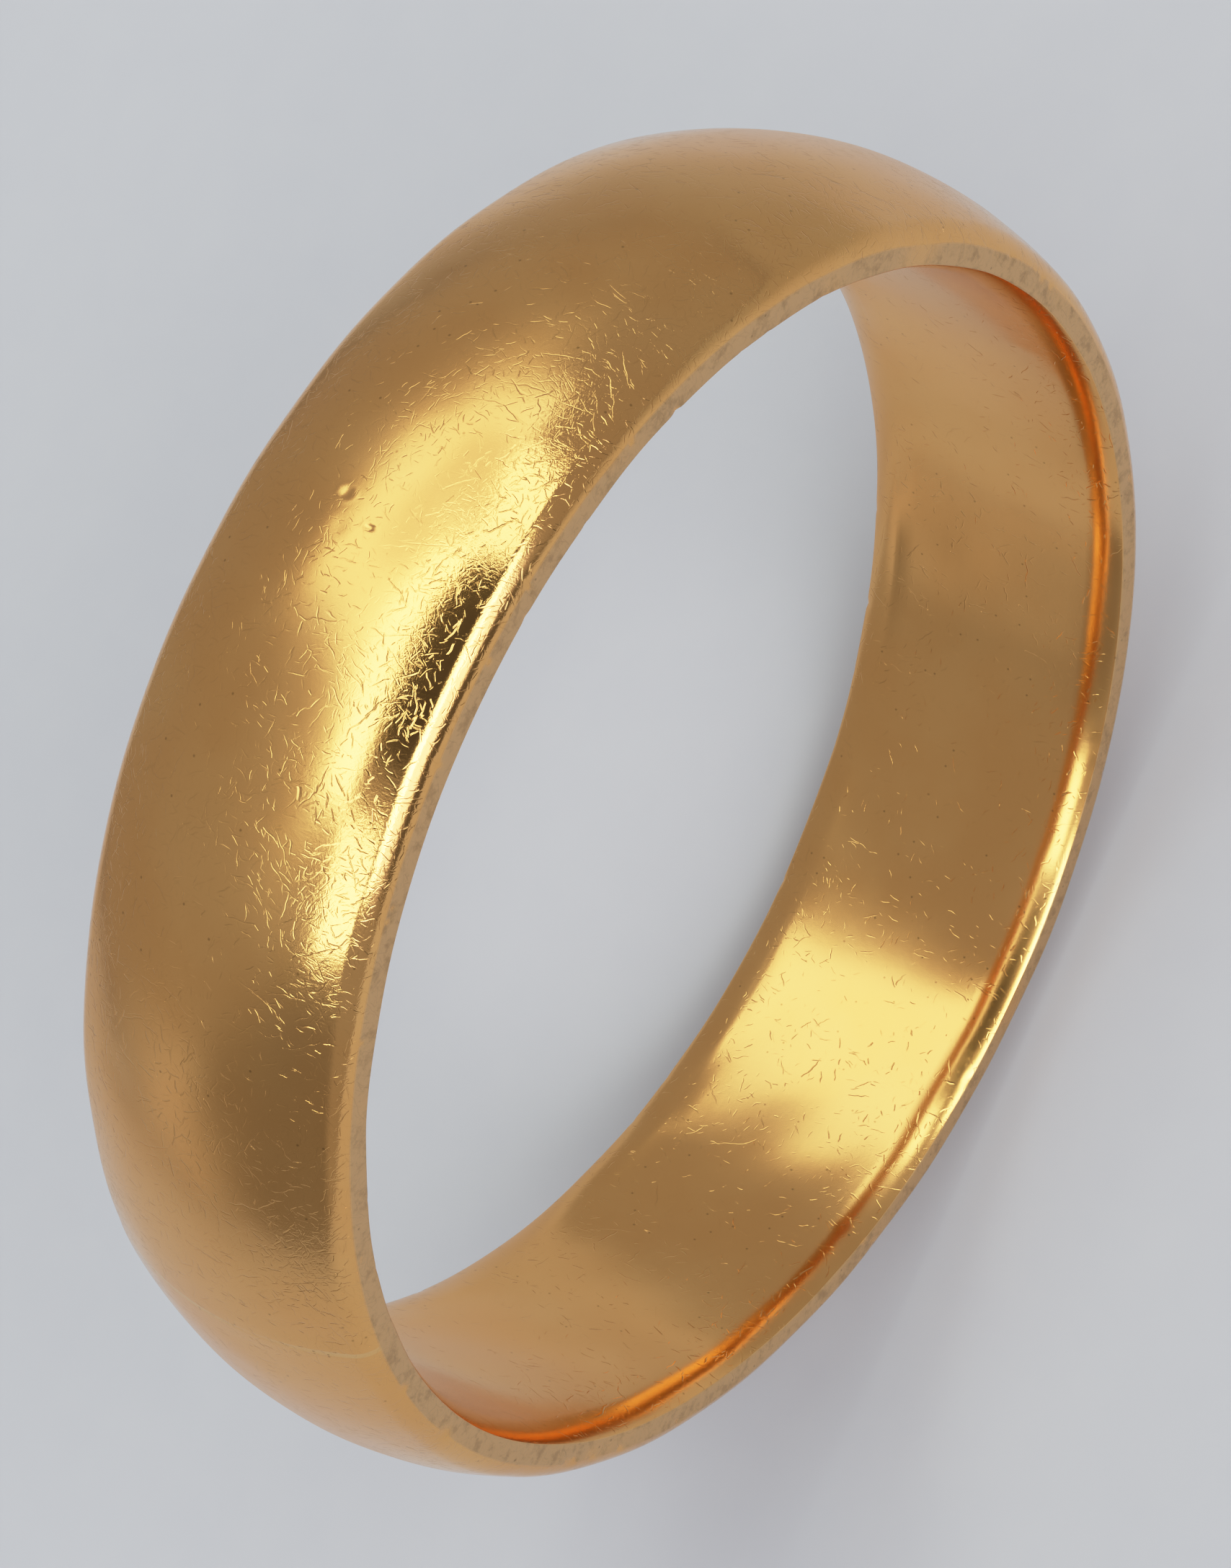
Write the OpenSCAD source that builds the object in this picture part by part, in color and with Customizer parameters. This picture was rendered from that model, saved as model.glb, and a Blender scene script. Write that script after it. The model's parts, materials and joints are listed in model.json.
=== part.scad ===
// Wedding band: a D-section gold strip bent round and closed with hard solder.
// The ring stands like a wheel. Its bore runs along Y, +Z is up, and the origin is the bore's centre.
// Angles round the ring are counted from +X towards +Z.

/* [Finger size] */
// Inside diameter at the straight middle of the bore (inside circumference 59 mm, size 59)
finger_d = 18.8; // [15:0.1:23]

/* [Section of the strip] */
// Width of the band, along the finger
band_w = 5; // [3:0.1:9]
// Thickness of gold from the bore to the top of the dome
crown_t = 1.32; // [1.1:0.01:2]
// Height above the bore at which the dome's arc would reach the sides if its shoulders were left square
dome_edge_t = 0.71; // [0.65:0.01:1]
// Height above the bore at which each flat side rim ends
rim_t = 0.5; // [0.35:0.01:0.6]

/* [Edges] */
// Width of the rounded lead-in at each end of the bore, measured along the finger
lead_w = 0.65; // [0.2:0.05:0.8]
// Radius of that lead-in
lead_r = 1.3; // [1.2:0.1:3]
// Radius that eases the corner between a lead-in and its side rim
inner_ease = 0.05; // [0.02:0.01:0.12]
// Radius of the worn shoulder that rounds the dome down to each side rim
shoulder_r = 0.54; // [0.4:0.02:0.8]

/* [Solder joint] */
// Width of the gap between the strip's two ends, which the solder fills
seam_w = 0.1; // [0.05:0.01:0.4]
// Where the joint lies round the ring, in degrees
seam_at = 150; // [0:1:359]

/* [Fineness] */
// Steps along each half of the dome
dome_steps = 14; // [6:1:30]
// Steps along a lead-in
lead_steps = 6; // [3:1:12]
// Steps round an eased corner
ease_steps = 5; // [3:1:10]
// Steps round a shoulder
shoulder_steps = 8; // [4:1:16]

/* [Hidden] */
$fn = 180;

finger_r = finger_d / 2;
crown_r = finger_r + crown_t;
half_w = band_w / 2;

// The dome is one arc over the crown.
dome_rise = crown_t - dome_edge_t;
dome_r = (half_w * half_w + dome_rise * dome_rise) / (2 * dome_rise);
dome_x = crown_r - dome_r;

// Centre of the lead-in's arc, which leaves the bore at a tangent.
lead_x = finger_r + lead_r;
lead_y = lead_w - half_w;

// Centre of the small arc that eases the inner corner of a side rim, tangent to both its neighbours.
inner_y = inner_ease - half_w;
inner_x = lead_x - sqrt(pow(lead_r - inner_ease, 2) - pow(inner_y - lead_y, 2));

// Centre of a shoulder's arc. It leaves the dome at a tangent and ends on the rim's outer corner,
// so the centre lies where a circle round the dome's centre crosses a circle round that corner.
corner = [finger_r + rim_t, -half_w];
reach = corner - [dome_x, 0];
inset = dome_r - shoulder_r;
along = (inset * inset - shoulder_r * shoulder_r + reach * reach) / (2 * norm(reach));
aside = sqrt(inset * inset - along * along);
shoulder_x = dome_x + (along * reach[0] - aside * reach[1]) / norm(reach);
shoulder_y = (along * reach[1] + aside * reach[0]) / norm(reach);

// Directions in which one arc hands over to the next.
lead_end = 360 + atan2(inner_y - lead_y, inner_x - lead_x);
shoulder_start = 360 + atan2(corner[1] - shoulder_y, corner[0] - shoulder_x);
dome_end = 360 + atan2(shoulder_y, shoulder_x - dome_x);

// The joint's cutter stands this far proud of the strip on every side.
proud = 1;

// Points along an arc, without its first one, which the stretch before it ends on.
function arc(cx, cy, r, from, to, steps) =
    [for (i = [1:steps]) let (a = from + (to - from) * i / steps) [cx + r * cos(a), cy + r * sin(a)]];

// Half of the strip's section, from the bore round a side rim to the crown of the dome.
// x is the distance from the bore's axis, y runs along the finger.
half_section = concat(
    [[finger_r, lead_y]],
    arc(lead_x, lead_y, lead_r, 180, lead_end, lead_steps),
    arc(inner_x, inner_y, inner_ease, lead_end, 270, ease_steps),
    [corner],
    arc(shoulder_x, shoulder_y, shoulder_r, shoulder_start, dome_end, shoulder_steps),
    arc(dome_x, 0, dome_r, dome_end, 360, dome_steps)
);
mirrored_half = [for (i = [len(half_section) - 2:-1:0]) [half_section[i][0], -half_section[i][1]]];

// The closed ring, before its joint is told apart.
module closed_ring() {
    rotate([90, 0, 0]) rotate_extrude() polygon(concat(half_section, mirrored_half));
}

// The straight gap between the strip's ends, right across the band.
module joint_gap() {
    rotate([0, -seam_at, 0])
        translate([finger_r - proud, -half_w - proud, -seam_w / 2])
            cube([crown_t + 2 * proud, band_w + 2 * proud, seam_w]);
}

module band() {
    color("goldenrod") difference() {
        closed_ring();
        joint_gap();
    }
}

module solder_seam() {
    color("khaki") intersection() {
        closed_ring();
        joint_gap();
    }
}

band();
solder_seam();
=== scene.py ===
import json
import math

import bpy
import numpy as np
from mathutils import Matrix, Vector


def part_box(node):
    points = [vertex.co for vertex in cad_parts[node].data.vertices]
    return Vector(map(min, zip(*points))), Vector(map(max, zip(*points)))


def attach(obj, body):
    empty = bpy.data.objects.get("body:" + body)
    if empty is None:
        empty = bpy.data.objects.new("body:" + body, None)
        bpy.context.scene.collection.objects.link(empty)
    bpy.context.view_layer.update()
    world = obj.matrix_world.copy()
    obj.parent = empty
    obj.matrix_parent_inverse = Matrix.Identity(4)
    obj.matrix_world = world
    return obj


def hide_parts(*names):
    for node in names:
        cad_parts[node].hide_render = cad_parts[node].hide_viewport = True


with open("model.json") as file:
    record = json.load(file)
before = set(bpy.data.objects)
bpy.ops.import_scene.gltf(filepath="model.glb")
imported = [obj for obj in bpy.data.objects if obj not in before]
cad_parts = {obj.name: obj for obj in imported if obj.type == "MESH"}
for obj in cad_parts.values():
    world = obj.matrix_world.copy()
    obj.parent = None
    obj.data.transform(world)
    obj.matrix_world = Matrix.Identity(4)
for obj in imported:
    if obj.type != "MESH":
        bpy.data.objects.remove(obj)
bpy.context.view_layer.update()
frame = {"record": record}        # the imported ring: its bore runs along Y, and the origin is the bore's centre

mm = 0.001

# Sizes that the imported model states: the bore's mount, and the boxes of the band and the solder.
boreMount = next(m for m in frame["record"]["mounts"] if m["name"] == "finger_bore")
bandLow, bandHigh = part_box("band")
seamLow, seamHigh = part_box("solder_seam")
boreR = boreMount["dims"]["r_mm"] * mm
boreWall = boreMount["dims"]["length_mm"] * mm
halfWidth = (bandHigh.y - bandLow.y) / 2
crownR = (bandHigh.z - bandLow.z) / 2
leadWidth = halfWidth - boreWall / 2
floorZ = bandLow.z


# The worn gold strip: a section carried round the bore, from one side of the solder joint to the other.
bandShape = {
    "domeEdge": 0.71 * mm,       # the dome's arc would reach the sides this far above the bore
    "rimHeight": 0.50 * mm,      # each flat side rim ends this far above the bore
    "shoulderRadius": 0.54 * mm,  # worn shoulder between the dome and the rim
    "leadRadius": 1.3 * mm,      # rounding at each mouth of the bore
    "innerEase": 0.05 * mm,      # worn corner between that rounding and the rim
    "arris": 0.012 * mm,         # the shoulder's edge on the rim is softened by this much
    "seamGap": 0.1 * mm,         # the joint that the solder fills
    "columns": 740,              # round the ring
    "fineCentre": 82.0,          # degrees round the ring where the columns lie closest
    "fineSpread": 26.0,          # degrees on either side of that
    "fineGain": 2.4,             # how much closer they lie there
    "boreRows": 13,              # rows of the outline, part by part
    "mouthRows": 10,
    "easeRows": 5,
    "rimRows": 7,
    "shoulderRows": 15,
    "domeRows": 54,
    "domeCrowding": 0.3,         # how far the dome's rows gather towards the crown, where the marks are
}


def arcPoints(centre, radius, start, end, count):
    # centre + radius * (cos a, sin a), with a in even steps from start to end
    a = np.linspace(start, end, count)
    return np.stack([centre[0] + radius * np.cos(a), centre[1] + radius * np.sin(a)], axis=1)


def bandSection(p):
    # Closed outline (distance from the axis, place along the finger), starting at the bore's far end:
    # straight bore, rounded mouth, flat rim, shoulder, one arc for the dome, and the same mirrored. The
    # shoulder's centre lies where a circle round the dome's centre crosses one round the rim's outer corner.
    rise = crownR - boreR - p["domeEdge"]
    domeR = (halfWidth**2 + rise**2) / (2 * rise)
    domeX = crownR - domeR
    leadX, leadY = boreR + p["leadRadius"], leadWidth - halfWidth
    inY = p["innerEase"] - halfWidth
    inX = leadX - math.sqrt((p["leadRadius"] - p["innerEase"]) ** 2 - (inY - leadY) ** 2)
    leadEnd = 2 * math.pi + math.atan2(inY - leadY, inX - leadX)
    cornerX = boreR + p["rimHeight"]
    reachX, reachY = cornerX - domeX, -halfWidth
    reach = math.hypot(reachX, reachY)
    radius = p["shoulderRadius"]
    inset = domeR - radius
    along = (inset**2 - radius**2 + reach**2) / (2 * reach)
    aside = math.sqrt(inset**2 - along**2)
    shoulderX = domeX + (along * reachX - aside * reachY) / reach
    shoulderY = (along * reachY + aside * reachX) / reach
    cornerTurn = math.atan2(-halfWidth - shoulderY, cornerX - shoulderX) + p["arris"] / radius
    domeEnd = math.atan2(shoulderY, shoulderX - domeX)
    rimX = np.linspace(inX, cornerX - p["arris"], p["rimRows"])[1:]
    boreY = np.linspace(-leadY, leadY, p["boreRows"])
    bore = np.stack([np.full_like(boreY, boreR), boreY], axis=1)
    side = np.concatenate([
        arcPoints((leadX, leadY), p["leadRadius"], math.pi, leadEnd, p["mouthRows"])[1:],
        arcPoints((inX, inY), p["innerEase"], leadEnd, 1.5 * math.pi, p["easeRows"])[1:],
        np.stack([rimX, np.full_like(rimX, -halfWidth)], axis=1),
        arcPoints((shoulderX, shoulderY), radius, cornerTurn, domeEnd, p["shoulderRows"]),
    ])
    s = np.linspace(-1, 1, p["domeRows"])
    a = domeEnd * -((1 - p["domeCrowding"]) * s + p["domeCrowding"] * s**3)
    dome = np.stack([domeX + domeR * np.cos(a), domeR * np.sin(a)], axis=1)[1:-1]
    return np.concatenate([bore, side, dome, (side * [1, -1])[::-1]])


def outlineLength(section):
    # distance walked along the outline, in millimetres: the running total of the steps between its points
    return np.concatenate([[0.0], np.cumsum(np.linalg.norm(np.diff(section, axis=0), axis=1))]) / mm


def columnAngles(p):
    # The joint's own angle, and each column's share of the way round from it: even steps of the running
    # total of a density, 1 + gain * exp(-(distance from the fine centre / spread)^2)
    t = np.linspace(0, 1, 4001)
    seam = math.degrees(math.atan2((seamLow.z + seamHigh.z) / 2, (seamLow.x + seamHigh.x) / 2))
    away = (seam + 360 * t - p["fineCentre"] + 180) % 360 - 180
    total = np.cumsum(1 + p["fineGain"] * np.exp(-((away / p["fineSpread"]) ** 2)))
    total = (total - total[0]) / (total[-1] - total[0])
    return math.radians(seam), np.interp(np.linspace(0, 1, p["columns"]), total, t)


def sectionNormals(section):
    # outward normal in the section's own plane: the chord between neighbours, turned a quarter turn
    chord = np.roll(section, -1, axis=0) - np.roll(section, 1, axis=0)
    n = np.stack([chord[:, 1], -chord[:, 0]], axis=1)
    return n / np.linalg.norm(n, axis=1, keepdims=True)


def wrapPoints(section, normals, lift, angle):
    # the outline, moved by lift along its normals, turned round the finger's axis to each column's angle
    radial = section[:, 0] + lift * normals[:, 0]
    along = section[:, 1] + lift * normals[:, 1]
    return np.stack([radial * np.cos(angle), along, radial * np.sin(angle)], axis=-1)


def gridMesh(name, points, u, v):
    # points[column, row]: rows close into the section's loop, columns run round the ring and end in two caps
    columns, rows = points.shape[:2]
    c, r = np.meshgrid(np.arange(columns - 1), np.arange(rows), indexing="ij")
    r2 = (r + 1) % rows
    quads = np.stack([c * rows + r, c * rows + r2, (c + 1) * rows + r2, (c + 1) * rows + r], axis=-1)
    loop = np.arange(rows)
    caps = [loop[::-1].tolist(), (loop + (columns - 1) * rows).tolist()]
    mesh = bpy.data.meshes.new(name)
    mesh.from_pydata(points.reshape(-1, 3).tolist(), [], quads.reshape(-1, 4).tolist() + caps)
    # a corner's place on the unrolled strip: u round the ring, v along the section, both in millimetres
    vNext = np.append(v[1:], 2 * v[-1] - v[-2])
    cornerU = np.stack([u[c], u[c], u[c + 1], u[c + 1]], axis=-1)
    cornerV = np.stack([v[r], vNext[r], vNext[r], v[r]], axis=-1)
    firstCap = np.stack([np.full(rows, u[0]), v[::-1]], axis=1)
    lastCap = np.stack([np.full(rows, u[-1]), v], axis=1)
    corners = np.concatenate([np.stack([cornerU, cornerV], axis=-1).reshape(-1, 2), firstCap, lastCap])
    mesh.uv_layers.new(name="strip").data.foreach_set("uv", corners.astype(np.float32).ravel())
    mesh.shade_smooth()
    # the caps meet the strip at a sharp edge, so they don't bend its shading
    ends = np.empty(len(mesh.edges) * 2, dtype=np.int32)
    mesh.edges.foreach_get("vertices", ends)
    ends = ends.reshape(-1, 2)
    sharp = (ends.max(axis=1) < rows) | (ends.min(axis=1) >= (columns - 1) * rows)
    mesh.attributes.new("sharp_edge", "BOOLEAN", "EDGE").data.foreach_set("value", sharp)
    piece = bpy.data.objects.new(name, mesh)
    bpy.context.scene.collection.objects.link(piece)
    return piece


# Wear on the band. Lengths without mm are millimetres on the unrolled strip.
bandWear = {
    "seed": 11,
    "waves": 26,             # long soft unevenness left by the planishing and years of wear
    "waveDepth": 0.0015 * mm,
    "waveLength": (1.6, 6.0),
    "lowered": 0.5,          # share of the highest wave by which the whole surface is lowered
    "dents": 110,            # shallow knocks
    "dentDepth": (0.002 * mm, 0.009 * mm),
    "dentRadius": (0.10, 0.5),
    "nicks": 110,            # bites out of the corners of the side rims
    "nickDepth": (0.006 * mm, 0.028 * mm),
    "nickRadius": (0.035, 0.10),
    "nickScatter": 0.03,     # how far a nick strays from its corner
    "cornerWithin": 0.002,   # the outline turns a rim's corner where it comes this close to the side
    "pitEdge": 3.0,          # steepness of a pit's wall
    "pitLip": 0.35,          # height of the lip round it, as a share of its depth
    # degrees round the ring, place along the finger, radius and depth
    "pits": [
        (77.7, 0.34, 0.095, 0.014),
        (79.5, -0.29, 0.055, 0.030),
        (115.6, 0.02, 0.045, 0.020),
        (62.0, 1.10, 0.05, 0.008),
        (96.0, 0.95, 0.045, 0.008),
    ],
    "jointFade": 0.4,        # the wear fades out this close to the joint, where the band meets the solder
}


def waveField(u, v, p, rng):
    # sum of sines with random directions, lengths and phases
    field = np.zeros_like(u)
    for _ in range(p["waves"]):
        heading, phase = rng.uniform(0, math.pi), rng.uniform(0, 2 * math.pi)
        length = rng.uniform(*p["waveLength"])
        field += np.sin(2 * math.pi * (u * math.cos(heading) + v * math.sin(heading)) / length + phase)
    return field * p["waveDepth"]


def hollow(u, v, centre, radius, depth, power=2.0, lip=0.0):
    # -depth * exp(-(distance / radius)^power), and round it a raised lip that is highest a third beyond the
    # radius; the distance is held to nine radii, so that its power stays in range
    lipAt, lipWidth, farthest = 1.35, 0.3, 9.0
    d = np.hypot(u - centre[0], v - centre[1]) / radius
    raised = lip * depth * np.exp(-(((d - lipAt) / lipWidth) ** 2))
    return raised - depth * np.exp(-np.minimum(d, farthest) ** power)


def wearLift(u, v, section, seam, p, wear):
    # height of the worn surface over the plain one: waves, dents, pits and nicks added up, times a smooth
    # step that is 0 at the joint
    rng = np.random.default_rng(wear["seed"])
    uu, vv = np.meshgrid(u, v, indexing="ij")
    lift = waveField(uu, vv, wear, rng)
    lift -= lift.max() * wear["lowered"]
    for _ in range(wear["dents"]):
        at = rng.uniform(0, u[-1]), rng.uniform(0, v[-1])
        lift += hollow(uu, vv, at, rng.uniform(*wear["dentRadius"]), rng.uniform(*wear["dentDepth"]))
    place = section[:, 1] / mm
    outside = slice(p["boreRows"], None)       # past the bore, the outline crosses the middle at the crown
    crownV = np.interp(0.0, place[outside], v[outside])
    for degrees, along, radius, depth in wear["pits"]:
        at = u[-1] * ((degrees - math.degrees(seam)) % 360) / 360, crownV + along
        lift += hollow(uu, vv, at, radius, depth * mm, wear["pitEdge"], wear["pitLip"])
    fromSide = np.abs(place) - (halfWidth / mm - wear["cornerWithin"])
    corners = np.flatnonzero(np.diff(np.sign(fromSide)) != 0)
    for _ in range(wear["nicks"]):
        at = rng.uniform(0, u[-1]), v[rng.choice(corners)] + rng.normal(0, wear["nickScatter"])
        lift += hollow(uu, vv, at, rng.uniform(*wear["nickRadius"]), rng.uniform(*wear["nickDepth"]))
    edge = np.clip(np.minimum(uu, u[-1] - uu) / wear["jointFade"], 0, 1)
    return lift * (edge * edge * (3 - 2 * edge))


def makeBand(p, wear):
    # the outline carried round the axis, from one side of the joint to the other, and lifted by the wear
    section = bandSection(p)
    v = outlineLength(section)
    seam, share = columnAngles(p)
    gap = np.arcsin(p["seamGap"] / 2 / section[:, 0])
    angle = seam + gap[None, :] + share[:, None] * (2 * math.pi - 2 * gap[None, :])
    u = share * 2 * math.pi * crownR / mm
    lift = wearLift(u, v, section, seam, p, wear)
    return gridMesh("worn_band", wrapPoints(section, sectionNormals(section), lift, angle), u, v)


# The solder in the joint.
seamShape = {
    "columns": 7,
    "sink": 0.0015 * mm,     # the solder lies this much lower in its middle
}


def makeSeam(p, s):
    # the outline carried straight across the gap, sunk by a parabola that is deepest in the middle
    section = bandSection(p)
    seam = columnAngles(p)[0]
    across = np.linspace(-1, 1, s["columns"])
    sink = -s["sink"] * (1 - across[:, None] ** 2)
    angle = seam + np.arcsin(across[:, None] * p["seamGap"] / 2 / section[:, 0])
    points = wrapPoints(section, sectionNormals(section), sink, angle)
    return gridMesh("solder_line", points, across * p["seamGap"] / 2 / mm, outlineLength(section))


def newTree(name):
    material = bpy.data.materials.new(name)
    material.use_nodes = True
    tree = material.node_tree
    tree.nodes.clear()
    return material, tree


def node(tree, kind, settings=None, **inputs):
    # one node; settings are its properties, and inputs are values or other nodes' sockets, given by number
    # (i0) or by name with _ for a space
    made = tree.nodes.new(kind)
    for key, value in (settings or {}).items():
        setattr(made, key, value)
    for key, value in inputs.items():
        numbered = key[0] == "i" and key[1:].isdigit()
        socket = made.inputs[int(key[1:]) if numbered else key.replace("_", " ")]
        if isinstance(value, bpy.types.NodeSocket):
            tree.links.new(value, socket)
        else:
            socket.default_value = value
    return made


def maths(tree, operation, a, b=0.0, c=0.0):
    # one operation on up to three values
    return node(tree, "ShaderNodeMath", {"operation": operation}, i0=a, i1=b, i2=c).outputs[0]


def times(tree, a, b):
    # a * b
    return maths(tree, "MULTIPLY", a, b)


def timesPlus(tree, a, b, c):
    # a * b + c
    return maths(tree, "MULTIPLY_ADD", a, b, c)


def vectors(tree, operation, a, b):
    # one operation on two vectors
    return node(tree, "ShaderNodeVectorMath", {"operation": operation}, i0=a, i1=b).outputs[0]


def turned(tree, vector, angle):
    # the vector, turned by the angle within the strip
    made = node(tree, "ShaderNodeVectorRotate", {"rotation_type": "Z_AXIS"}, Vector=vector, Angle=angle)
    return made.outputs[0]


def flatNoise(tree, place, scale, detail):
    # noise on the unrolled strip
    return node(tree, "ShaderNodeTexNoise", {"noise_dimensions": "2D"},
                Vector=place, Scale=scale, Detail=detail)


def remap(tree, value, fromLow, fromHigh, toLow=0.0, toHigh=1.0):
    # a smooth step from toLow to toHigh, while the value goes from fromLow to fromHigh
    made = node(tree, "ShaderNodeMapRange", {"interpolation_type": "SMOOTHSTEP"}, Value=value)
    ends = {"From Min": fromLow, "From Max": fromHigh, "To Min": toLow, "To Max": toHigh}
    for key, number in ends.items():
        made.inputs[key].default_value = number
    return made.outputs["Result"]


def mixColour(tree, factor, a, b):
    # a * (1 - factor) + b * factor
    return node(tree, "ShaderNodeMix", {"data_type": "RGBA"}, i0=factor, i6=a, i7=b).outputs[2]


def mixValue(tree, factor, a, b):
    # the same for single values
    return node(tree, "ShaderNodeMix", i0=factor, i2=a, i3=b).outputs[0]


# How the scratches of one layer vary.
scratchShape = {
    "halfLength": (0.35, 0.15),  # as shares of the layer's length: what chance adds, and the least
    "fullDepth": 0.25,           # share of the half length that is at full depth
    "depth": (0.8, 0.2),         # what chance adds, and the least
    "faintness": 2.2,            # the higher, the fewer deep scratches
}


def scratchGroup(p):
    # One scratch in each Voronoi cell: a thin straight groove through the cell's own point, at the cell's
    # own angle. Its depth falls smoothly to 0 at the half width and towards both ends, and most are faint.
    tree = bpy.data.node_groups.new("scratch_cells", "ShaderNodeTree")
    tree.interface.new_socket(name="Vector", in_out="INPUT", socket_type="NodeSocketVector")
    for name in ("Density", "Cells", "Length", "Half width", "Share", "Turn", "Spread"):
        tree.interface.new_socket(name=name, in_out="INPUT", socket_type="NodeSocketFloat")
    tree.interface.new_socket(name="Groove", in_out="OUTPUT", socket_type="NodeSocketFloat")
    given = tree.nodes.new("NodeGroupInput").outputs
    cell = node(tree, "ShaderNodeTexVoronoi", {"voronoi_dimensions": "2D"},
                Vector=given["Vector"], Scale=given["Cells"])
    chance = node(tree, "ShaderNodeSeparateColor", Color=cell.outputs["Color"]).outputs
    swing = maths(tree, "SUBTRACT", chance[0], 0.5)
    angle = timesPlus(tree, swing, given["Spread"], given["Turn"])
    local = vectors(tree, "SUBTRACT", given["Vector"], cell.outputs["Position"])
    axes = node(tree, "ShaderNodeSeparateXYZ", Vector=turned(tree, local, angle)).outputs
    across = maths(tree, "DIVIDE", maths(tree, "ABSOLUTE", axes[1]), given["Half width"])
    profile = remap(tree, across, 1.0, 0.0)
    reach = times(tree, given["Length"], timesPlus(tree, chance[2], *p["halfLength"]))
    along = maths(tree, "DIVIDE", maths(tree, "ABSOLUTE", axes[0]), reach)
    ends = remap(tree, along, 1.0, p["fullDepth"])
    present = maths(tree, "LESS_THAN", chance[1], times(tree, given["Share"], given["Density"]))
    depth = timesPlus(tree, maths(tree, "POWER", chance[2], p["faintness"]), *p["depth"])
    groove = times(tree, times(tree, profile, ends), times(tree, present, depth))
    tree.links.new(groove, tree.nodes.new("NodeGroupOutput").inputs[0])
    return tree


# Gold, worn satin. Noise scales are cells to the millimetre on the strip, and to the metre in the solid.
goldFinish = {
    "metal": (0.80, 0.42, 0.142, 1),
    "pale": (0.83, 0.46, 0.165, 1),        # drifts of slightly paler metal
    "paleDrift": (420.0, 0.35, 0.70),      # their scale, and the noise where they start and are full
    "rim": (0.66, 0.41, 0.20, 1),          # the matt side rims
    "grimeAndShade": (0.20, 0.105, 0.035, 1),      # dirt held in pits and scratches; in the scratches the darkening is also painted shade
    "rimGrime": (4200.0, 0.45, 0.70, 0.35),  # scale, noise where it starts and is full, strength
    # how much the scratches darken: partly dirt, partly painted shade in the grooves
    "grooveDirtAndShade": 0.22,
    "specks": (3.0, 0.09, 0.03, 0.10, 0.5),  # scale, outer and inner size, share of cells, strength
    "crownRoughness": 0.24,                # worn satin over the dome's middle
    "shoulderRoughness": 0.12,             # brighter towards the shoulders
    "boreRoughness": 0.19,
    "rimRoughness": 0.42,
    "roughnessSwing": 0.12,
    # where the bore's, the shoulders' and the rims' finish starts and is full
    "boreReach": (0.30 * mm, 0.16 * mm),   # above the bore
    "shoulderReach": (0.9 * mm, 1.9 * mm),  # from the band's middle
    "rimReach": (0.03 * mm, 0.012 * mm),   # inside the side
    "rimTop": (0.56 * mm, 0.50 * mm),      # above the bore
    "bump": 0.0034 * mm,                   # depth of a full groove
    "grain": (13000.0, 0.18, 0.15),        # scale, height added at the shoulders, height elsewhere
    "pebbles": (2600.0, 0.25),             # scale and height
    "boreSmoothing": -0.6,                 # what the bore takes off the grain
    "hatching": 0.75,
    "hatchAlong": 6.0,
    "hatches": ((0.45, 34.0), (1.55, 30.0), (2.65, 38.0)),  # heading in radians, lines to the millimetre
    "drift": (0.9, 0.35),                  # slow bend of the scratches: scale, and shift in millimetres
    "wiggle": (4.5, 0.09),
    "patches": (0.45, 0.30, 0.62, 0.45),   # scale, noise where a crowd starts and is full, the rest's share
    "shoulderCrowding": (0.45, 0.55),      # added at the shoulders, and kept at the crown
    "boreCrowding": -0.75,                 # what the bore takes off
    "layerShift": (7.31, 3.17),            # keeps the layers' cells apart, in millimetres
    # cells to the millimetre, length and half width in millimetres, share of cells marked,
    # middle angle and spread in radians, depth
    "scratches": [
        (8.3, 0.20, 0.013, 0.95, 0.3, 6.28, 0.75),
        (6.7, 0.26, 0.014, 0.95, 0.0, 6.28, 0.80),
        (5.4, 0.34, 0.014, 0.95, 0.7, 6.28, 0.80),
        (4.3, 0.42, 0.015, 0.90, 0.4, 6.28, 0.80),
        (3.2, 0.60, 0.015, 0.90, 0.2, 6.28, 0.80),
        (2.2, 0.90, 0.016, 0.75, 1.0, 6.28, 0.85),
        (1.1, 1.60, 0.015, 0.55, 1.2, 1.60, 0.90),
        (0.8, 1.00, 0.032, 0.25, 0.9, 3.00, 1.00),
    ],
}


def goldMasks(tree, place, f):
    # 0 to 1 over the bore, over the shoulders of the dome and over the flat rims, by distance from the axis
    # and from the band's middle
    x, y, z = node(tree, "ShaderNodeSeparateXYZ", Vector=place).outputs
    aside = maths(tree, "ABSOLUTE", y)
    radius = maths(tree, "SQRT", timesPlus(tree, x, x, times(tree, z, z)))
    inBore = remap(tree, radius, *(boreR + d for d in f["boreReach"]))
    shoulder = remap(tree, aside, *f["shoulderReach"])
    besideRim = remap(tree, aside, *(halfWidth - d for d in f["rimReach"]))
    onRim = times(tree, besideRim, remap(tree, radius, *(boreR + d for d in f["rimTop"])))
    return inBore, shoulder, onRim


def scratchLayers(tree, bent, crowding, f, seed):
    # the deepest of all layers at each place
    group = scratchGroup(scratchShape)
    stepU, stepV = f["layerShift"]
    grooves = None
    for k, (cells, length, half, share, turn, spread, depth) in enumerate(f["scratches"]):
        moved = vectors(tree, "ADD", bent, (seed + stepU * k, stepV * k - seed, 0.0))
        layer = node(tree, "ShaderNodeGroup", {"node_tree": group}, Vector=moved, Density=crowding,
                     Cells=cells, Length=length, Half_width=half, Share=share, Turn=turn, Spread=spread)
        cut = times(tree, layer.outputs[0], depth)
        grooves = cut if grooves is None else maths(tree, "MAXIMUM", grooves, cut)
    return grooves


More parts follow.
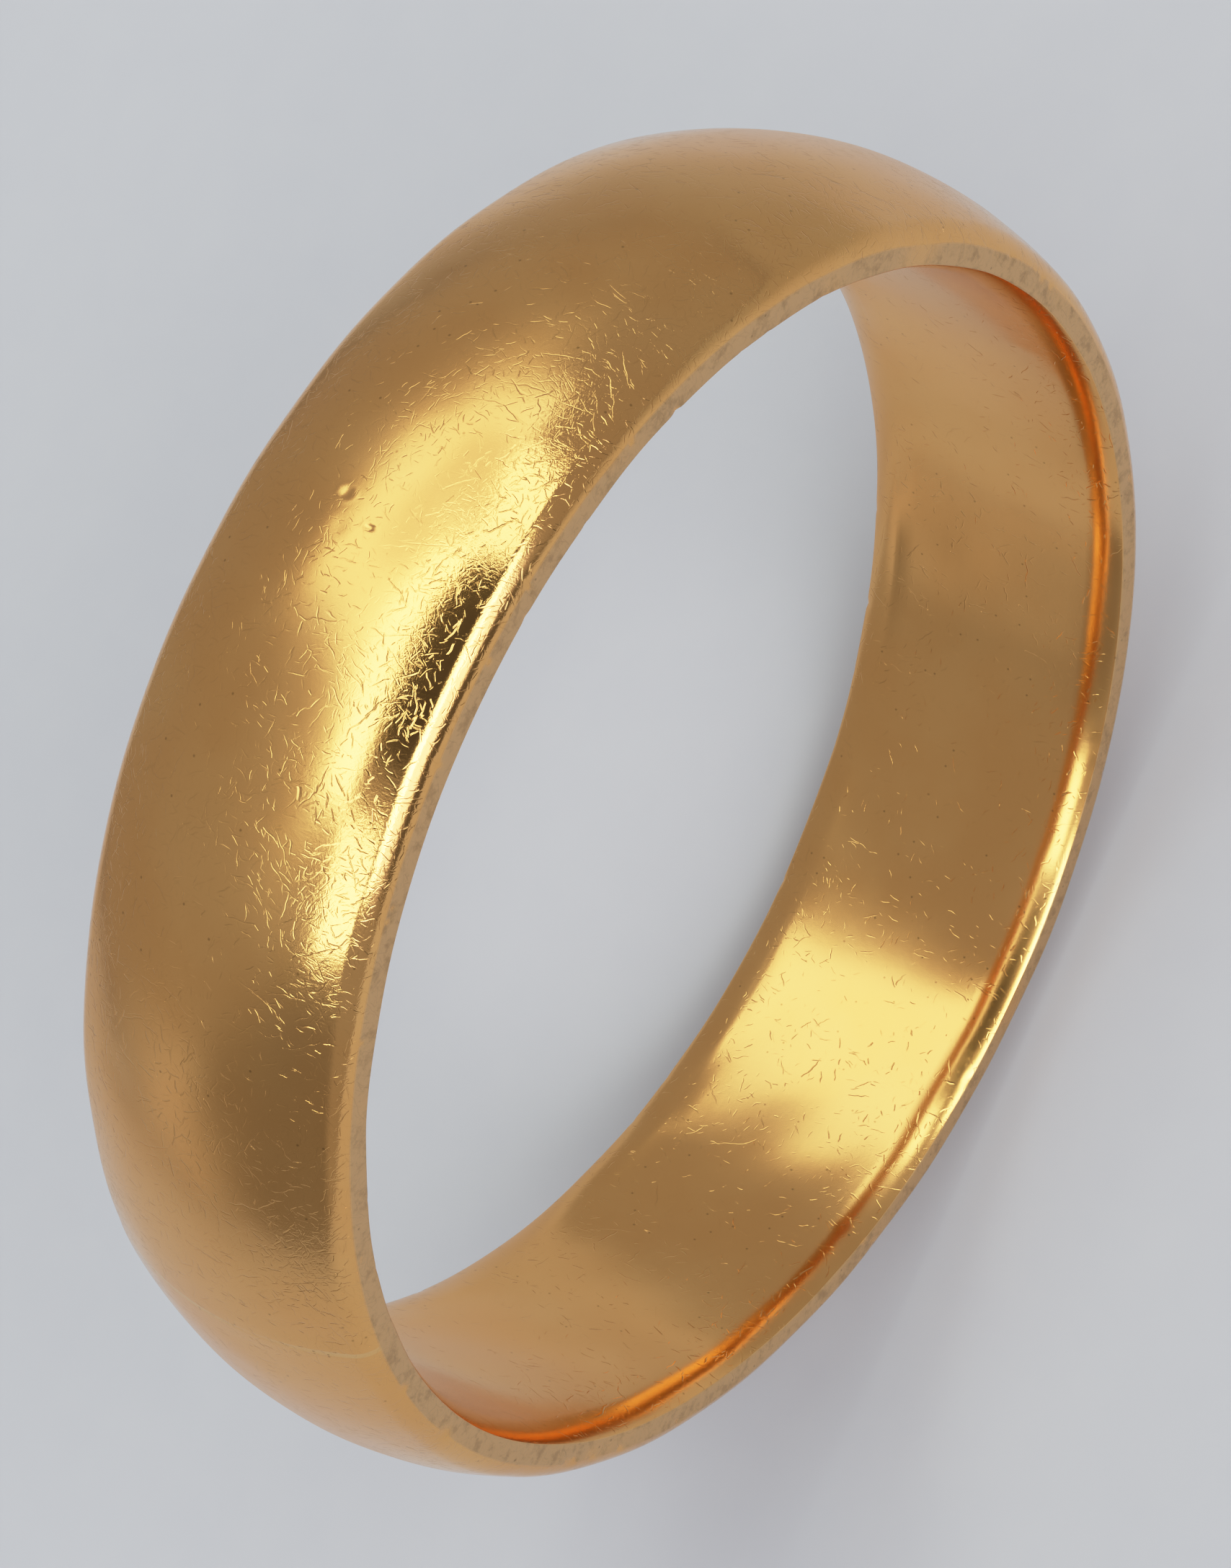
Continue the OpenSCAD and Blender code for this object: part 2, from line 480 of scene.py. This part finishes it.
def goldMaterial(name, f, metal, seed):
    material, tree = newTree(name)
    strip = node(tree, "ShaderNodeUVMap", {"uv_map": "strip"}).outputs["UV"]
    place = node(tree, "ShaderNodeTexCoord").outputs["Object"]
    inBore, shoulder, onRim = goldMasks(tree, place, f)

    # two drifts bend the scratches, so none is ruler-straight
    bent = strip
    for scale, shift in (f["drift"], f["wiggle"]):
        noise = flatNoise(tree, strip, scale, 1.0).outputs["Color"]
        bent = vectors(tree, "ADD", bent, vectors(tree, "MULTIPLY", noise, (shift, shift, shift)))
    patchScale, patchStart, patchFull, outsidePatch = f["patches"]
    crowding = remap(tree, flatNoise(tree, strip, patchScale, 3.0).outputs["Fac"],
                     patchStart, patchFull, outsidePatch, 1.0)
    crowding = times(tree, crowding, timesPlus(tree, shoulder, *f["shoulderCrowding"]))
    crowding = times(tree, crowding, timesPlus(tree, inBore, f["boreCrowding"], 1.0))
    grooves = scratchLayers(tree, bent, crowding, f, seed)

    # height: grain and pebbles, less the scratches, and fine hatching, which is noise drawn out in lines
    grainScale, grainAdded, grainLeast = f["grain"]
    grain = node(tree, "ShaderNodeTexNoise", Vector=place, Scale=grainScale, Detail=3.0, Roughness=0.6,
                 Distortion=0.6)
    pebbleScale, pebbleHeight = f["pebbles"]
    pebbles = node(tree, "ShaderNodeTexNoise", Vector=place, Scale=pebbleScale, Detail=2.0)
    matting = times(tree, timesPlus(tree, shoulder, grainAdded, grainLeast),
                    timesPlus(tree, inBore, f["boreSmoothing"], 1.0))
    height = timesPlus(tree, grain.outputs["Fac"], matting, times(tree, grooves, -1.0))
    height = timesPlus(tree, pebbles.outputs["Fac"], pebbleHeight, height)
    hatchHeight = times(tree, times(tree, matting, f["hatching"]), crowding)
    for turn, across in f["hatches"]:
        drawn = vectors(tree, "MULTIPLY", turned(tree, bent, turn), (f["hatchAlong"], across, 1.0))
        height = timesPlus(tree, flatNoise(tree, drawn, 1.0, 1.0).outputs["Fac"], hatchHeight, height)
    bump = node(tree, "ShaderNodeBump", Height=height, Strength=1.0, Distance=f["bump"])

    # colour: pale drifts, matt and dirty rims, dirt and painted shade in the scratches, and dirt in specks
    driftScale, driftStart, driftFull = f["paleDrift"]
    drifts = node(tree, "ShaderNodeTexNoise", Vector=place, Scale=driftScale, Detail=4.0).outputs["Fac"]
    colour = mixColour(tree, remap(tree, drifts, driftStart, driftFull), metal, f["pale"])
    smearScale, smearStart, smearFull, smearStrength = f["rimGrime"]
    smears = node(tree, "ShaderNodeTexNoise", Vector=place, Scale=smearScale, Detail=4.0, Roughness=0.7)
    edgeDirt = remap(tree, smears.outputs["Fac"], smearStart, smearFull, 0.0, smearStrength)
    colour = mixColour(tree, onRim, colour, mixColour(tree, edgeDirt, f["rim"], f["grimeAndShade"]))
    speckScale, speckOuter, speckInner, speckShare, speckStrength = f["specks"]
    specks = node(tree, "ShaderNodeTexVoronoi", {"voronoi_dimensions": "2D"}, Vector=strip, Scale=speckScale)
    chance = node(tree, "ShaderNodeSeparateColor", Color=specks.outputs["Color"]).outputs[0]
    speck = times(tree, remap(tree, specks.outputs["Distance"], speckOuter, speckInner),
                  maths(tree, "LESS_THAN", chance, speckShare))
    # dark in the scratches, partly dirt and partly painted shade, and dark specks of dirt
    dirtAndShade = maths(tree, "MAXIMUM", times(tree, grooves, f["grooveDirtAndShade"]), times(tree, speck, speckStrength))
    colour = mixColour(tree, dirtAndShade, colour, f["grimeAndShade"])

    rough = mixValue(tree, shoulder, f["crownRoughness"], f["shoulderRoughness"])
    rough = mixValue(tree, inBore, rough, f["boreRoughness"])
    rough = mixValue(tree, onRim, rough, f["rimRoughness"])
    rough = timesPlus(tree, maths(tree, "SUBTRACT", drifts, 0.5), f["roughnessSwing"], rough)
    shader = node(tree, "ShaderNodeBsdfPrincipled", Base_Color=colour, Metallic=1.0, Roughness=rough,
                  Normal=bump.outputs[0])
    tree.links.new(shader.outputs[0], node(tree, "ShaderNodeOutputMaterial").inputs[0])
    return material


band = makeBand(bandShape, bandWear)
band.data.materials.append(goldMaterial("worn_gold", goldFinish, goldFinish["metal"], 0.0))
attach(band, "root")
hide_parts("band")
print("band:", len(band.data.polygons), "faces")

# The solder has the gold's finish, in a slightly paler metal and with scratches of its own.
solderLook = {"metal": (0.80, 0.52, 0.22, 1), "seed": 40.0}
seamPiece = makeSeam(bandShape, seamShape)
solder = goldMaterial("hard_solder", goldFinish, solderLook["metal"], solderLook["seed"])
seamPiece.data.materials.append(solder)
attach(seamPiece, "root")
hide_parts("solder_seam")
print("solder line:", len(seamPiece.data.polygons), "faces")


# A plain matt card under the ring, with painted shade darkening it towards the right.
floorLook = {
    "half": 0.6,
    "colour": (0.455, 0.460, 0.558, 1),
    "paintedShadeColour": (0.30, 0.302, 0.360, 1),    # painted shade: the card dims towards the right, away from the ring, as if less light reached it there
    "dimming": (17 * mm, 58 * mm),           # between these distances to the right of the ring's middle
    "fibres": (900.0, 0.04),                 # scale and strength of the card's own unevenness
    "roughness": 0.75,
    "shine": 0.2,
}


def makeFloor(p):
    h = p["half"]
    mesh = bpy.data.meshes.new("floor")
    corners = [(-h, -h, floorZ), (h, -h, floorZ), (h, h, floorZ), (-h, h, floorZ)]
    mesh.from_pydata(corners, [], [(0, 1, 2, 3)])
    floor = bpy.data.objects.new("floor", mesh)
    bpy.context.scene.collection.objects.link(floor)
    material, tree = newTree("matt_card_painted_shade")
    place = node(tree, "ShaderNodeTexCoord").outputs["Object"]
    x = node(tree, "ShaderNodeSeparateXYZ", Vector=place).outputs[0]
    fibreScale, fibreStrength = p["fibres"]
    fibres = node(tree, "ShaderNodeTexNoise", Vector=place, Scale=fibreScale, Detail=4.0).outputs["Fac"]
    # painted shade: the card's own colour fades to the darker one towards the right
    cardWithShade = mixColour(tree, remap(tree, x, *p["dimming"]), p["colour"], p["paintedShadeColour"])
    cardWithShade = mixColour(tree, times(tree, fibres, fibreStrength), cardWithShade, (1, 1, 1, 1))
    shader = node(tree, "ShaderNodeBsdfPrincipled", Base_Color=cardWithShade, Roughness=p["roughness"],
                  Specular_IOR_Level=p["shine"])
    tree.links.new(shader.outputs[0], node(tree, "ShaderNodeOutputMaterial").inputs[0])
    mesh.materials.append(material)


makeFloor(floorLook)
print("floor: in place")


# Lights: soft panels in one plane overhead, with a gap between the front one and the others, and a window's
# panes to the back right.
lightHeight = 0.30
lampTint = (0.98, 1.04, 0.84)
# low x, high x, low y, high y on the plane overhead, as shares of its height, and radiance
panels = {
    "overhead": (-0.36, 0.48, -0.06, 0.17, 3.8),
    "left_block": (-0.88, -0.36, -0.40, -0.05, 3.6),
    "right_block": (0.48, 0.90, -0.36, 0.02, 3.0),
    "front_bar": (-0.60, 0.65, -1.05, -0.56, 4.4),
    "window_low": (0.05, 0.35, 0.17, 0.42, 1.9),
    "window_middle": (0.35, 0.90, 0.02, 0.42, 0.9),
    "window_high": (0.15, 0.90, 0.42, 0.78, 1.9),
    "window_side": (0.90, 1.35, 0.02, 0.70, 1.8),
}


def addPanel(name, lowX, highX, lowY, highY, radiance):
    # a rectangle of even radiance facing down; its power is radiance * pi * area
    lamp = bpy.data.lights.new(name, "AREA")
    lamp.shape = "RECTANGLE"
    lamp.size, lamp.size_y = (highX - lowX) * lightHeight, (highY - lowY) * lightHeight
    lamp.energy = radiance * math.pi * lamp.size * lamp.size_y
    lamp.color = lampTint
    holder = bpy.data.objects.new(name, lamp)
    holder.location = ((lowX + highX) / 2 * lightHeight, (lowY + highY) / 2 * lightHeight, lightHeight)
    holder.visible_camera = False
    bpy.context.scene.collection.objects.link(holder)


for name, size in panels.items():
    addPanel(name, *size)
print("lights:", len(panels), "panels")


# The room round the lights, by direction: an even grey, then patches laid over it in turn. They are a bright
# front wall, a dark strip at its foot, a paler far left corner, a dim left wall and a dark gap overhead.
room = {
    "grey": 0.37,
    "tint": (1.0, 0.985, 1.0, 1),
    # direction, cosines between which the patch fades in, radiance at its middle
    "patches": [
        ((0.0, -0.80, 0.60), 0.91, 0.97, 3.2),
        ((0.0, -1.0, 0.05), 0.94, 0.985, 0.13),
        ((-0.87, 0.48, 0.08), 0.93, 0.985, 0.60),
        ((-0.95, 0.0, 0.30), 0.82, 0.96, 0.24),
        ((0.16, -0.30, 0.94), 0.90, 0.96, 0.07),
    ],
}


def makeRoom(p):
    # each patch goes by the cosine between the heading and its own direction, in a smooth step
    world = bpy.data.worlds.new("room")
    bpy.context.scene.world = world
    world.use_nodes = True
    tree = world.node_tree
    tree.nodes.clear()
    heading = node(tree, "ShaderNodeVectorMath", {"operation": "NORMALIZE"},
                   i0=node(tree, "ShaderNodeTexCoord").outputs["Generated"]).outputs[0]
    level = p["grey"]
    for direction, start, full, radiance in p["patches"]:
        dot = node(tree, "ShaderNodeVectorMath", {"operation": "DOT_PRODUCT"},
                   i0=heading, i1=Vector(direction).normalized())
        level = mixValue(tree, remap(tree, dot.outputs["Value"], start, full), level, radiance)
    sky = node(tree, "ShaderNodeBackground", Color=p["tint"], Strength=level)
    tree.links.new(sky.outputs[0], node(tree, "ShaderNodeOutputWorld").inputs[0])


makeRoom(room)


# The camera, by its direction from the point it aims at.
view = {
    "azimuth": -0.28,        # degrees
    "elevation": 59.42,
    "roll": -65.64,
    "distance": 75.16 * mm,
    "aim": (0.187 * mm, 0.531 * mm, 0.314 * mm),
    "lens": 111.25,          # and the sensor's width, both in millimetres
    "sensor": 36.0,
    "clip": (1 * mm, 5.0),
}


def placeCamera(p):
    # back points from the aim to the camera; the picture is then turned by roll about it
    a, e, r = (math.radians(p[k]) for k in ("azimuth", "elevation", "roll"))
    back = Vector((math.sin(a) * math.cos(e), -math.cos(a) * math.cos(e), math.sin(e)))
    level = (-back).cross(Vector((0, 0, 1))).normalized()
    upright = level.cross(-back)
    right = level * math.cos(r) + upright * math.sin(r)
    up = upright * math.cos(r) - level * math.sin(r)
    data = bpy.data.cameras.new("camera")
    data.lens, data.sensor_width = p["lens"], p["sensor"]
    data.clip_start, data.clip_end = p["clip"]
    camera = bpy.data.objects.new("camera", data)
    bpy.context.scene.collection.objects.link(camera)
    spin = Matrix((right, up, back)).transposed().to_4x4()
    camera.matrix_world = Matrix.Translation(Vector(p["aim"]) + back * p["distance"]) @ spin
    bpy.context.scene.camera = camera


placeCamera(view)
print("camera: in place")


# The picture's tone: straight up to the knee, then an exponential shoulder towards white.
tone = {
    "knee": 0.45,
    "white": 4.0,            # brightness that comes out as pure white
    "shoulder": (0.45, 0.6, 0.8, 1.0, 1.3, 1.7, 2.2, 3.0),     # the curve's points, by brightness
    "straight": (0.1, 0.25, 0.35),
}


def setTone(p):
    # knee + (1 - knee) * (1 - exp((knee - brightness) / (1 - knee))), on the curve for all three colours
    settings = bpy.context.scene.view_settings
    settings.view_transform = "Standard"
    settings.use_curve_mapping = True
    mapping = settings.curve_mapping
    mapping.white_level = (p["white"],) * 3
    curve = mapping.curves[3]
    curve.points[0].location = (0, 0)
    rest = 1 - p["knee"]
    for x in p["shoulder"]:
        curve.points.new(x / p["white"], p["knee"] + rest * (1 - math.exp((p["knee"] - x) / rest)))
    for x in p["straight"]:
        curve.points.new(x / p["white"], x)
    mapping.update()


setTone(tone)
print("tone: set")
